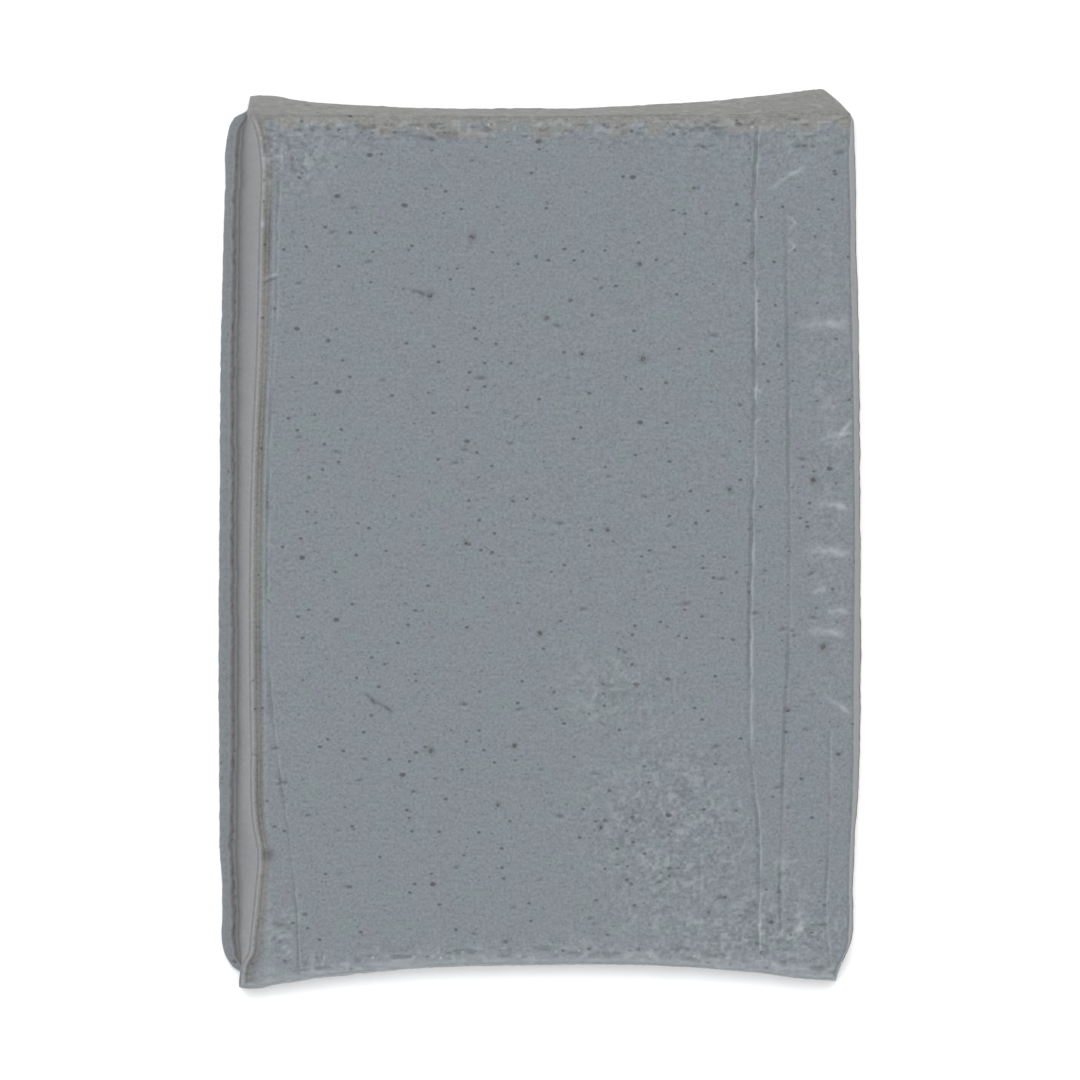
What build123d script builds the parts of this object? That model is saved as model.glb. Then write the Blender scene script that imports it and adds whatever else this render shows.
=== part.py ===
"""A bar of detailing clay: one lump of clay putty with coarse grit worked into it.

The putty is extruded as a flat ribbon along X and chopped to size by a chisel blade that comes
down across it.  The blade's sloped side leaves the left end leaning back, and its flat side
leaves the right end upright.  Both ends keep a squeezed foot along the bottom, with a crevice
where the putty above it was pushed back.  The ribbon's two soft edges are hollow along their
length and flare into an ear at each corner.  Long creases in the top face are left by the cut
and by the wrapper.

Frame: millimetres, +Z up through the thickness, X across the two cut ends, Y along them.  The
origin is on the surface that the bar lies on, in the middle of its overall width and length.
"""

import os

from build123d import *

# ---- Overall sizes ----
bar_width = 63.5  # X, over the feet of the two cut ends
bar_length = 89.0  # Y, from the longest rear ear to the longest front ear
bar_thickness = 12.7  # Z

# ---- The foot, which the blade squeezes out against the table ----
foot_height = 2.6
foot_rear_set_in = 1.9  # how far it stops short of the overall length
foot_front_set_in = 1.3
foot_corner_radius = 2.7
foot_end_bow = 0.8  # how far it bows out at the middle of each cut end
foot_hollow = 0.4  # how far its soft edges hollow in
foot_lip_radius = 0.4  # rounding of its upper rim

# ---- The cut ends above the foot ----
wall_bow = 0.5  # how far the cut walls bow out at their middle
left_ledge = 1.85  # how far the foot stands out from the left wall
right_ledge = 0.7  # how far the foot stands out from the right wall
left_lean = 1.9  # how far the blade's sloped side lays the left wall back
right_lean = 0.25
left_crevice_width = 0.9
left_crevice_depth = 1.8
right_crevice_width = 0.25
right_crevice_depth = 1.2
crevice_undercut = 0.12  # how far a crevice cuts in under the wall behind it
crevice_end_gap = 0.8  # solid putty left between a crevice and the foot's corners

# ---- The soft edges and the four ears ----
edge_hollow = 1.65  # how far the soft edges hollow in, measured from the ear tips
rear_edge_lean = 0.6  # how far the soft edges lean in, midway between the ears
front_edge_lean = 0.15
ear_base = 2.2  # how far back from an ear's tip the cut wall turns into it
ear_tip_width = 1.0  # the blunt end of an ear
rear_left_inset = 1.2  # how far an ear's tip stands in from the cut wall's corner
rear_right_inset = 2.3
front_left_inset = 0.35
front_right_inset = 1.3
rear_left_shortfall = 0.6  # how much shorter this ear is than the longest rear ear
front_right_shortfall = 0.85  # how much shorter this ear is than the longest front ear
rear_ear_fall = 1.9  # how far the top face stops short of the rear ears' tips
front_ear_fall = 0.2
top_edge_radius = 0.4

# ---- The creases in the top face ----
lip_channel_width = 0.55  # the channel behind the left end's rolled lip
lip_channel_depth = 0.35
lip_channel_set_in = 0.8  # from the top face's left edge to the channel's middle
lip_fold_set_in = 1.6  # from the top face's left edge to the fine fold beside the channel
seam_set_in = 10.0  # from the top face's right edge to the wrapper's seam
wrapper_fold_set_in = 7.0
short_fold_set_in = 2.9
short_fold_length = 22.0
crease_width = 0.22
crease_depth = 0.2
crease_bow = 0.7
crease_end_gap = 2.6  # how far the long creases stop short of the top face's soft edges

# ---- The grit ----
large_grain_radius = 0.42
small_grain_radius = 0.28
pale_grain_radius = 0.3
grain_depth_share = 0.3  # depth of a grain's middle below the face, as a share of its radius

# Where the dark grains lie in the top face, as shares of half the width and half the length
large_grain_places = [
    (-0.21, 0.67),
    (-0.34, 0.54),
    (0.32, 0.40),
    (0.66, 0.63),
    (0.85, 0.13),
    (0.88, -0.24),
    (-0.34, -0.47),
]
small_grain_places = [
    (-0.13, -0.59),
    (0.0, -0.21),
    (-0.23, -0.01),
    (0.21, 0.02),
    (0.31, 0.61),
    (0.77, -0.38),
    (-0.08, -0.46),
    (0.19, -0.64),
    (0.02, 0.49),
    (0.13, 0.41),
    (0.59, 0.11),
]
# Where the pale grains lie along each soft edge of the top face: as shares of half the width,
# and how many times their own radius they stand in from the edge
pale_rear_places = [
    (-0.71, 3.2),
    (-0.62, 5.6),
    (-0.47, 3.3),
    (-0.38, 4.9),
    (-0.16, 3.5),
    (0.07, 3.2),
    (0.18, 5.3),
    (0.41, 3.4),
    (0.66, 4.5),
]
pale_front_places = [
    (-0.67, 3.3),
    (-0.52, 3.1),
    (-0.31, 3.2),
    (-0.24, 5.1),
    (-0.02, 3.2),
    (0.12, 5.5),
    (0.27, 3.3),
    (0.48, 3.7),
    (0.69, 3.2),
]

# ---- Worked out from the sizes above ----
LEFT, RIGHT = -1, 1
FRONT, REAR = -1, 1

half_width = bar_width / 2
half_length = bar_length / 2

# The cut walls' middles at the table, then at the top face
wall_x = {
    LEFT: -half_width + left_ledge - left_lean * foot_height / bar_thickness,
    RIGHT: half_width - right_ledge + right_lean * foot_height / bar_thickness,
}
top_left = wall_x[LEFT] + left_lean
top_right = wall_x[RIGHT] - right_lean

# Each ear's inset from its cut wall's corner, and how far out it reaches
ears = {
    (LEFT, REAR): (rear_left_inset, half_length - rear_left_shortfall),
    (RIGHT, REAR): (rear_right_inset, half_length),
    (LEFT, FRONT): (front_left_inset, half_length),
    (RIGHT, FRONT): (front_right_inset, half_length - front_right_shortfall),
}

# The soft edges' middles at the table, then at the top face
edge_y = {}
for end in (FRONT, REAR):
    mean_reach = (ears[LEFT, end][1] + ears[RIGHT, end][1]) / 2
    edge_y[end] = end * (mean_reach - edge_hollow)
top_rear = edge_y[REAR] - rear_edge_lean
top_front = edge_y[FRONT] + front_edge_lean
top_middle_y = (top_rear + top_front) / 2
crease_half_span = (top_rear - top_front) / 2 - crease_end_gap


def ear_points(side, end, lean, fall):
    """Returns an ear's base on the cut wall, its tip, and where its blunt end meets the soft edge."""
    inset, reach = ears[side, end]
    corner_x = wall_x[side] - side * (wall_bow + lean)
    tip_x = corner_x - side * inset
    tip_y = end * (reach - fall)
    base_y = tip_y - end * (ear_base - fall / 2)
    return (corner_x, base_y), (tip_x, tip_y), (tip_x - side * ear_tip_width, tip_y)


def body_outline(wall_lean, edge_lean, ear_fall):
    """Draws the body's outline, drawn in by a lean for each side, and a lean and a fall for each end."""
    corners = {
        (side, end): ear_points(side, end, wall_lean[side], ear_fall[end])
        for side in (LEFT, RIGHT)
        for end in (FRONT, REAR)
    }
    for base, tip, blunt_end in corners.values():
        Polyline(base, tip, blunt_end)
    for side in (LEFT, RIGHT):
        middle = (wall_x[side] - side * wall_lean[side], 0)
        ThreePointArc(corners[side, FRONT][0], middle, corners[side, REAR][0])
    for end in (FRONT, REAR):
        middle = (0, edge_y[end] - end * edge_lean[end])
        ThreePointArc(corners[LEFT, end][2], middle, corners[RIGHT, end][2])


def bowed_strip(middle_x, bow, middle_y, half_span, width):
    """Draws a closed strip along Y whose middle lies at middle_x, bowed towards +X by bow."""
    near = middle_x - width / 2
    far = middle_x + width / 2
    rear = middle_y + half_span
    front = middle_y - half_span
    ThreePointArc((near - bow, front), (near, middle_y), (near - bow, rear))
    Line((near - bow, rear), (far - bow, rear))
    ThreePointArc((far - bow, rear), (far, middle_y), (far - bow, front))
    Line((far - bow, front), (near - bow, front))


# ---- The dark grit: grains in both broad faces, each cut flush with its face ----
grain_kinds = [
    (large_grain_radius, large_grain_places),
    (small_grain_radius, small_grain_places),
]

with BuildPart() as dark_grit:
    for radius, places in grain_kinds:
        sink = radius * grain_depth_share
        with Locations(*[(x * half_width, y * half_length, bar_thickness - sink) for x, y in places]):
            Sphere(radius)
        with Locations(*[(-x * half_width, y * half_length, sink) for x, y in places]):
            Sphere(radius)
    split(bisect_by=Plane.XY.offset(bar_thickness), keep=Keep.BOTTOM)
    split(bisect_by=Plane.XY, keep=Keep.TOP)

# ---- The pale grit: a loose row of grains along each soft edge of the top face ----
pale_grain_z = bar_thickness - pale_grain_radius * grain_depth_share
pale_grain_spots = []
for places, soft_edge_y, inward in [(pale_rear_places, top_rear, -1), (pale_front_places, top_front, 1)]:
    for across, radii in places:
        spot_y = soft_edge_y + inward * radii * pale_grain_radius
        pale_grain_spots.append((across * half_width, spot_y, pale_grain_z))

with BuildPart() as pale_grit:
    with Locations(*pale_grain_spots):
        Sphere(pale_grain_radius)
    split(bisect_by=Plane.XY.offset(bar_thickness), keep=Keep.BOTTOM)

# ---- The foot ----
foot_corner_x = half_width - foot_end_bow
foot_y = {FRONT: -half_length + foot_front_set_in, REAR: half_length - foot_rear_set_in}

with BuildPart() as foot:
    with BuildSketch() as foot_plan:
        with BuildLine():
            for side in (LEFT, RIGHT):
                ThreePointArc(
                    (side * foot_corner_x, foot_y[FRONT]),
                    (side * half_width, 0),
                    (side * foot_corner_x, foot_y[REAR]),
                )
            for end in (FRONT, REAR):
                ThreePointArc(
                    (-foot_corner_x, foot_y[end]),
                    (0, foot_y[end] - end * foot_hollow),
                    (foot_corner_x, foot_y[end]),
                )
        make_face()
        fillet(foot_plan.vertices(), foot_corner_radius)
    extrude(amount=foot_height)
    fillet(foot.faces().sort_by(Axis.Z)[-1].edges(), foot_lip_radius)

# ---- The putty: the body and the foot as one lump, less its crevices, creases and grit pockets ----
crevice_half_span = min(-foot_y[FRONT], foot_y[REAR]) - foot_corner_radius - crevice_end_gap
left_crevice_x = -half_width + left_ledge - left_crevice_width / 2 + crevice_undercut
right_crevice_x = half_width - right_ledge + right_crevice_width / 2 - crevice_undercut
short_fold_half_span = short_fold_length / 2
lip_channel_x = top_left + lip_channel_set_in
fine_creases = [
    (top_left + lip_fold_set_in, -crease_bow, top_middle_y, crease_half_span),
    (top_right - seam_set_in, -crease_bow, top_middle_y, crease_half_span),
    (top_right - wrapper_fold_set_in, crease_bow, top_middle_y, crease_half_span),
    (top_right - short_fold_set_in, crease_bow, -short_fold_half_span, short_fold_half_span),
]

with BuildPart() as clay_bar:
    with BuildSketch():
        with BuildLine():
            body_outline({LEFT: 0, RIGHT: 0}, {FRONT: 0, REAR: 0}, {FRONT: 0, REAR: 0})
        make_face()
    with BuildSketch(Plane.XY.offset(bar_thickness)):
        with BuildLine():
            body_outline(
                {LEFT: left_lean, RIGHT: right_lean},
                {FRONT: front_edge_lean, REAR: rear_edge_lean},
                {FRONT: front_ear_fall, REAR: rear_ear_fall},
            )
        make_face()
    loft(ruled=True)
    fillet(clay_bar.faces().sort_by(Axis.Z)[-1].edges(), top_edge_radius)
    add(foot.part)

    # The crevices behind the ledges
    with BuildSketch(Plane.XY.offset(foot_height)):
        with BuildLine():
            bowed_strip(left_crevice_x, -wall_bow, 0, crevice_half_span, left_crevice_width)
        make_face()
    extrude(amount=-left_crevice_depth, mode=Mode.SUBTRACT)
    with BuildSketch(Plane.XY.offset(foot_height)):
        with BuildLine():
            bowed_strip(right_crevice_x, wall_bow, 0, crevice_half_span, right_crevice_width)
        make_face()
    extrude(amount=-right_crevice_depth, mode=Mode.SUBTRACT)

    # The lip's channel and the fine creases in the top face
    with BuildSketch(Plane.XY.offset(bar_thickness)):
        with BuildLine():
            bowed_strip(lip_channel_x, -crease_bow, top_middle_y, crease_half_span, lip_channel_width)
        make_face()
    extrude(amount=-lip_channel_depth, mode=Mode.SUBTRACT)
    with BuildSketch(Plane.XY.offset(bar_thickness)):
        for middle_x, bow, middle_y, half_span in fine_creases:
            with BuildLine():
                bowed_strip(middle_x, bow, middle_y, half_span, crease_width)
            make_face()
    extrude(amount=-crease_depth, mode=Mode.SUBTRACT)

    # A pocket for each grain
    add(dark_grit.part, mode=Mode.SUBTRACT)
    add(pale_grit.part, mode=Mode.SUBTRACT)

os.makedirs("parts", exist_ok=True)
clay_bar.part.label = "clay_bar"
export_step(clay_bar.part, "parts/clay_bar.step")
dark_grit.part.label = "dark_grit"
export_step(dark_grit.part, "parts/dark_grit.step")
pale_grit.part.label = "pale_grit"
export_step(pale_grit.part, "parts/pale_grit.step")
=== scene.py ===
"""The look of a bar of detailing clay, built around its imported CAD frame.

The bar is one lump of grey putty.  Its top face is the skin of an extruded ribbon, its left and
right ends are chopped by a blade, and its front and rear edges are the ribbon's own soft edges.
All sizes inside the classes are millimetres in the frame's axes: +X towards the upright end,
+Y towards the rear edge, +Z up.  They turn into metres where a mesh or a material is made.
"""

import logging
import math
from abc import ABC, abstractmethod
from dataclasses import dataclass, field
from enum import Enum
from typing import NamedTuple

import bmesh
import bpy
import numpy as np
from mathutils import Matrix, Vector


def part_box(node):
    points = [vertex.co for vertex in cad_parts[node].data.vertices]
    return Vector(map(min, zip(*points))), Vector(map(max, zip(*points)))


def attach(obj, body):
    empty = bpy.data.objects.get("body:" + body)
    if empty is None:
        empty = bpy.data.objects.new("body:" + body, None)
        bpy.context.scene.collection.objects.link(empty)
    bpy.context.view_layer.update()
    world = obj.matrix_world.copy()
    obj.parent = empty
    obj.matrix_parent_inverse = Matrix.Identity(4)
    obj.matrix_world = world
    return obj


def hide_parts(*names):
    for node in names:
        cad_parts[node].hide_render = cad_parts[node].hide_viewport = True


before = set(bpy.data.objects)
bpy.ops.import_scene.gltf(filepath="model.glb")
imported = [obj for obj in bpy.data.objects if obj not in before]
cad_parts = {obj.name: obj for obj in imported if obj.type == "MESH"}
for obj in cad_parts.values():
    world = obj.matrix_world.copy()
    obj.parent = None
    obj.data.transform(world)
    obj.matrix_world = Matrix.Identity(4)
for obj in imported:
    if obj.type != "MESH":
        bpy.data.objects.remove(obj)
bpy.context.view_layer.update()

MM = 0.001
PER_METRE = 1000
ROOT_BODY = "root"
NOISE_TILE = 256
Array = np.ndarray
Point = tuple[float, float]
Socket = bpy.types.NodeSocket

log = logging.getLogger("clay_bar")


def smooth_step(value: Array) -> Array:
    """Eases a value from 0 to 1, level below 0 and above 1."""
    share = np.clip(value, 0.0, 1.0)
    return share * share * (3.0 - 2.0 * share)


def bell(value: Array) -> Array:
    """Gives a bell curve: 1 at 0, and near 0 from 2 outwards."""
    return np.exp(-(value**2))


def lumps(x: Array, y: Array, size_x: float, size_y: float, seed: int) -> Array:
    """Draws seeded smooth noise over a plane.

    Args:
        x: places along the first axis.
        y: places along the second axis.
        size_x: the lumps' size along the first axis.
        size_y: their size along the second axis.
        seed: the number of the draw.

    Returns:
        The noise at each place, from about -1 to 1.
    """
    lattice = np.random.default_rng(seed).uniform(-1.0, 1.0, (NOISE_TILE, NOISE_TILE))
    across, along = x / size_x, y / size_y
    column, row = np.floor(across).astype(int), np.floor(along).astype(int)
    u, v = smooth_step(across - column), smooth_step(along - row)
    near, far = column % NOISE_TILE, (column + 1) % NOISE_TILE
    low, high = row % NOISE_TILE, (row + 1) % NOISE_TILE
    front = lattice[near, low] * (1 - u) + lattice[far, low] * u
    rear = lattice[near, high] * (1 - u) + lattice[far, high] * u
    return front * (1 - v) + rear * v


def graded_places(start: float, stop: float, coarse: float, fine: float, near: list[float]) -> Array:
    """Spreads places along a line, close together near some of its points.

    Args:
        start: where the line starts.
        stop: where it stops.
        coarse: the spacing far from every named point.
        fine: the spacing at a named point.
        near: the named points.

    Returns:
        The places, in order, as four times a whole number of steps.
    """
    reach, steps_per_group, ruler_marks = 0.7, 4, 6000
    ruler = np.linspace(start, stop, ruler_marks)
    distance = np.abs(ruler[:, None] - np.array(near)).min(axis=1)
    spacing = coarse - (coarse - fine) * bell(distance / reach)
    steps = np.concatenate([[0.0], np.cumsum(np.diff(ruler) / spacing[1:])])
    count = steps_per_group * math.ceil(steps[-1] / steps_per_group)
    return np.interp(np.linspace(0.0, steps[-1], count + 1), steps, ruler)


@dataclass(frozen=True)
class HandLine:
    """A smooth line drawn through a few given points of (distance along, value)."""

    points: tuple[Point, ...]

    def at(self, along: Array) -> Array:
        """Reads the line.

        Args:
            along: distances along the line.

        Returns:
            The line's value at each distance, held level past its ends.
        """
        knots, values = np.array(sorted(self.points)).T
        slopes = np.gradient(values, knots)
        left = np.clip(np.searchsorted(knots, along) - 1, 0, len(knots) - 2)
        span = knots[left + 1] - knots[left]
        t = np.clip((along - knots[left]) / span, 0.0, 1.0)
        rise = values[left + 1] - values[left]
        lead = slopes[left] * span * t * (1.0 - t) ** 2
        trail = slopes[left + 1] * span * t * t * (1.0 - t)
        return values[left] + rise * smooth_step(t) + lead - trail

    def middle(self) -> float:
        """Reads the line halfway along the bar."""
        return float(self.at(np.zeros(1))[0])


# ==== What is pressed, rolled and rubbed into the putty's face ====


@dataclass
class Relief:
    """What the points of a face gain: height in mm, and shares of pale, dark and warm colour; the pale and
    dark shares hold painted highlights and shade as well as marks.
    """

    x: Array
    y: Array
    height: Array = field(init=False)
    pale: Array = field(init=False)
    dark: Array = field(init=False)
    warm: Array = field(init=False)

    def __post_init__(self) -> None:
        """Starts every point level and clean."""
        self.height, self.pale, self.dark, self.warm = (np.zeros_like(self.x) for _ in range(4))

    def near(self, place: Point, reach: float) -> Array:
        """Marks the points that lie within reach of a place along both axes."""
        return (np.abs(self.x - place[0]) < reach) & (np.abs(self.y - place[1]) < reach)

    def noise(self, size_x: float, size_y: float, seed: int) -> Array:
        """Draws noise over the face."""
        return lumps(self.x, self.y, size_x, size_y, seed)

    def wave(self, size: float, seed: int) -> Array:
        """Draws noise that changes along Y only."""
        return lumps(self.y * 0, self.y, 1.0, size, seed)


class Mark(ABC):
    """Something that is pressed, rolled or rubbed into the top face."""

    @abstractmethod
    def press(self, relief: Relief) -> None:
        """Makes the mark.

        Args:
            relief: the top face's relief, which the mark changes.
        """


@dataclass(frozen=True)
class Unevenness(Mark):
    """The slow waves and the fine roughness that extruding leaves in the skin."""

    wave_height: float = 0.07
    ripple_height: float = 0.022
    grain_height: float = 0.008

    def press(self, relief: Relief) -> None:
        """Adds the waves, ripples and grain."""
        relief.height += self.wave_height * relief.noise(13.0, 19.0, 3)
        relief.height += self.ripple_height * relief.noise(3.6, 4.6, 4)
        relief.height += self.grain_height * relief.noise(0.8, 0.5, 5)


@dataclass(frozen=True)
class Crease(Mark):
    """A ragged crease that runs along the bar, with one bank a little higher; shade is painted in its
    groove and a highlight on the raised bank.
    """

    line: HandLine
    depth: float
    width: float
    rear_end: float
    front_end: float
    raggedness: float
    bank: float
    seed: int
    fade: float = 2.0
    painted_shade: float = 0.3
    dark_from_depth: float = 0.17
    painted_highlight: float = 0.5
    pale_from_bank: float = 0.07

    def press(self, relief: Relief) -> None:
        """Cuts the crease and lifts its bank on the +X side, painting shade in the groove and a highlight
        on the bank.
        """
        wander = self.raggedness * relief.wave(1.1, self.seed)
        wander += 0.5 * self.raggedness * relief.wave(0.35, self.seed + 1)
        across = relief.x - self.line.at(relief.y) - wander
        end = smooth_step((self.rear_end - relief.y) / self.fade)
        end = end * smooth_step((relief.y - self.front_end) / self.fade)
        patchy = 0.7 + 0.5 * relief.wave(4.0, self.seed + 2)
        groove = end * patchy * bell(across / self.width)
        lifted = end * bell((across - 2.2 * self.width) / (1.3 * self.width))
        relief.height += self.bank * lifted - self.depth * groove
        # Painted shade in the groove, darker as the crease is deeper, and a painted highlight on the raised
        # bank.
        relief.dark += self.painted_shade * np.clip(groove, 0, 1) * min(1.0, self.depth / self.dark_from_depth)
        broken = np.clip(0.55 + 0.6 * relief.wave(1.6, self.seed + 3), 0, 1)
        relief.pale += self.painted_highlight * broken * lifted * min(1.0, self.bank / self.pale_from_bank)


@dataclass(frozen=True)
class RolledLip(Mark):
    """The lip that the blade's sloped side rolled over the left end, with a channel behind it."""

    crest: HandLine
    second_fold: HandLine
    channel_set_in: float
    channel_depth: float = 0.34
    channel_width: float = 0.27
    crest_height: float = 0.1
    crest_width: float = 0.3
    fold_height: float = 0.1
    fold_width: float = 0.32
    fold_end: float = 34.0
    painted_light: float = 0.22
    warm_reach: float = 1.3

    def press(self, relief: Relief) -> None:
        """Raises the lip's crest and the fold behind it, and sinks the channel between them; paints shade
        in the channel and highlights on the crest and the fold.
        """
        across = relief.x - self.crest.at(relief.y)
        fold = relief.x - self.second_fold.at(relief.y)
        strength = 0.75 + 0.35 * relief.wave(6.0, 11)
        channel = strength * bell((across - self.channel_set_in) / self.channel_width)
        relief.height += self.crest_height * bell(across / self.crest_width) - self.channel_depth * channel
        present = smooth_step((self.fold_end - relief.y) / 4.0)
        relief.height += self.fold_height * present * bell(fold / self.fold_width)
        # Painted shade in the channel, and painted highlights on the crest and the fold.
        relief.dark += self.painted_light * channel
        relief.pale += self.painted_light * bell(across / 0.25) + 0.1 * present * bell(fold / 0.3)
        relief.warm += smooth_step((self.warm_reach - across) / 0.7)


@dataclass(frozen=True)
class Wrinkle(Mark):
    """A short ridge or scratch: raised, with a painted highlight, if its height is above 0, and sunk, with
    painted shade, if below.
    """

    start_x: float
    start_y: float
    end_x: float
    end_y: float
    width: float
    height: float
    painted_highlight: float = 0.55
    painted_shade: float = 1.3

    def press(self, relief: Relief) -> None:
        """Raises or scratches the wrinkle, and paints a highlight on a ridge or shade in a scratch."""
        middle = ((self.start_x + self.end_x) / 2, (self.start_y + self.end_y) / 2)
        run_x, run_y = self.end_x - self.start_x, self.end_y - self.start_y
        length = math.hypot(run_x, run_y)
        near = relief.near(middle, length / 2 + 4 * self.width)
        dx, dy = run_x / length, run_y / length
        along = (relief.x[near] - middle[0]) * dx + (relief.y[near] - middle[1]) * dy
        across = (relief.y[near] - middle[1]) * dx - (relief.x[near] - middle[0]) * dy
        across = across - 0.12 * lumps(along, along * 0, 0.9, 1.0, 21)
        shape = np.exp(-((across / self.width) ** 2) - (2.2 * along / length) ** 4)
        shape = shape * (0.65 + 0.5 * lumps(along, across, 0.45, 0.3, 22))
        relief.height[near] += self.height * shape
        # Painted highlight on a raised ridge, painted shade in a scratch.
        if self.height > 0:
            relief.pale[near] += self.painted_highlight * shape
        else:
            relief.dark[near] += self.painted_shade * shape


@dataclass(frozen=True)
class Pits(Mark):
    """Small pits where a grain was dragged along the skin, so that they run along X."""

    count: int
    seed: int
    half_width: float
    half_length: float
    length: Point
    width: Point
    depth: Point
    painted_shade: float
    tilt: float = 0.22
    sizes: Point = (1.3, 3.5)
    rim_share: float = 0.12

    def press(self, relief: Relief) -> None:
        """Sinks each pit, with painted shade in it, and raises a faint rim on its front side, where the
        skin was torn, with a painted highlight where the pit's wall faces the light.
        """
        rng = np.random.default_rng(self.seed)
        for _ in range(self.count):
            place = (
                rng.uniform(-self.half_width, self.half_width),
                rng.uniform(-self.half_length, self.half_length),
            )
            size = rng.beta(*self.sizes)
            ranges = (self.length, self.width, self.depth)
            long, wide, depth = (low + size * (high - low) for low, high in ranges)
            half_long, half_wide = 0.5 * long, 0.5 * wide
            tilt = rng.normal(0.0, self.tilt)
            near = relief.near(place, 3.0 * half_long)
            x, y = relief.x[near] - place[0], relief.y[near] - place[1]
            across = y - tilt * x
            pit = np.exp(-((x / half_long) ** 2) - (across / half_wide) ** 2)
            rim = np.exp(-((x / half_long) ** 2) - ((across + 1.7 * half_wide) / half_wide) ** 2)
            relief.height[near] += self.rim_share * depth * rim - depth * pit
            # Painted shade inside the pit, and a painted highlight on its front rim.
            relief.dark[near] += self.painted_shade * pit
            relief.pale[near] += 0.15 * self.painted_shade * rim


@dataclass(frozen=True)
class DragBand(Mark):
    """The rough band along a soft edge, where the skin dragged against the die."""

    edge: HandLine
    side: int
    width: float
    depth: float
    warm_width: float
    rim_highlight: float
    seed: int
    edge_reach: float = 0.7
    torn_shade: float = 0.6
    crumb_highlight: float = 0.3
    warm_fade: float = 1.3

    def press(self, relief: Relief) -> None:
        """Tears short grooves along X, with painted shade in them, and leaves raised crumbs between them,
        with painted highlights, and a painted highlight along the edge where the face rolls over.
        """
        inside = self.side * (self.edge.at(relief.x) - relief.y)
        band = smooth_step(1 - inside / (2 * self.width))
        band = band * (0.45 + 0.55 * smooth_step(inside / self.edge_reach))
        tear = relief.noise(0.75, 0.28, self.seed) + 0.5 * relief.noise(2.2, 0.4, self.seed + 1)
        crumb = relief.noise(0.5, 0.4, self.seed + 2)
        torn = band * smooth_step((tear - 0.2) / 0.5)
        raised = band * smooth_step((crumb - 0.2) / 0.5)
        relief.height += 0.6 * self.depth * raised - self.depth * torn
        # Painted shade in the torn grooves, painted highlights on the raised crumbs.
        relief.dark += self.torn_shade * torn
        relief.pale += self.crumb_highlight * raised
        # Painted highlight along the edge, where the face rolls over.
        relief.pale += self.rim_highlight * np.exp(-np.clip(inside, 0, None) / self.edge_reach)
        ragged = inside + 1.1 * relief.noise(1.9, 1.0, self.seed + 3)
        if self.warm_width > 0:
            relief.warm += smooth_step((self.warm_width - ragged) / self.warm_fade)


@dataclass(frozen=True)
class Scuff(Mark):
    """A rubbed patch where the skin is crinkled into fine pale threads."""

    centre_x: float
    centre_y: float
    spread_x: float
    spread_y: float
    strength: float
    seed: int
    thread_width: float = 0.13
    thread_height: float = 0.04
    thread_shade: float = 0.35
    pale_stipple: float = 0.33
    dark_stipple: float = 0.5

    def press(self, relief: Relief) -> None:
        """Crinkles the patch and stipples it."""
        x, y = (relief.x - self.centre_x) / self.spread_x, (relief.y - self.centre_y) / self.spread_y
        patch = self.strength * np.exp(-(x**2) - y**2)
        bent_x = relief.x + 0.5 * relief.noise(1.3, 1.1, self.seed)
        thin = bell(lumps(bent_x, relief.y, 1.0, 1.3, self.seed + 1) / self.thread_width)
        gate = smooth_step((relief.noise(1.9, 1.5, self.seed + 2) - 0.05) / 0.5)
        crinkle = patch * thin * gate
        relief.height += self.thread_height * crinkle
        relief.pale += self.thread_shade * crinkle
        stipple = relief.noise(0.34, 0.3, self.seed + 3) + 0.25 * relief.noise(1.2, 1.0, self.seed + 4)
        relief.pale += self.pale_stipple * patch * smooth_step((stipple - 0.25) / 0.45)
        relief.dark += self.dark_stipple * patch * smooth_step((-0.3 - stipple) / 0.4)


@dataclass(frozen=True)
class Dent(Mark):
    """A round dent with painted shade in it, or a raised spot with a painted highlight if its depth is
    below 0.
    """

    place: Point
    radius: float
    depth: float
    painted_light: float = 0.5

    def press(self, relief: Relief) -> None:
        """Pushes the dent in, and paints its shade, or the spot's highlight."""
        near = relief.near(self.place, 3 * self.radius)
        x, y = relief.x[near] - self.place[0], relief.y[near] - self.place[1]
        shape = np.exp(-(x * x + y * y) / self.radius**2)
        relief.height[near] -= self.depth * shape
        # Painted shade in a dent, painted highlight on a raised spot.
        share = relief.dark if self.depth > 0 else relief.pale
        share[near] += self.painted_light * shape


# ==== Finishes ====


def linear_colour(hex_code: str) -> tuple[float, float, float, float]:
    """Turns an sRGB hex colour into the linear colour that shaders take.

    Args:
        hex_code: six hex digits after a hash sign.

    Returns:
        Linear red, green and blue, and an alpha of 1.
    """
    channels = [int(hex_code[i : i + 2], 16) / 255 for i in (1, 3, 5)]
    linear = [c / 12.92 if c <= 0.04045 else ((c + 0.055) / 1.055) ** 2.4 for c in channels]
    return (linear[0], linear[1], linear[2], 1.0)


class MixSocket:
    """The places of a colour Mix node's sockets, whose names repeat."""

    FACTOR = 0
    FIRST = 6
    SECOND = 7
    RESULT = 2


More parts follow.
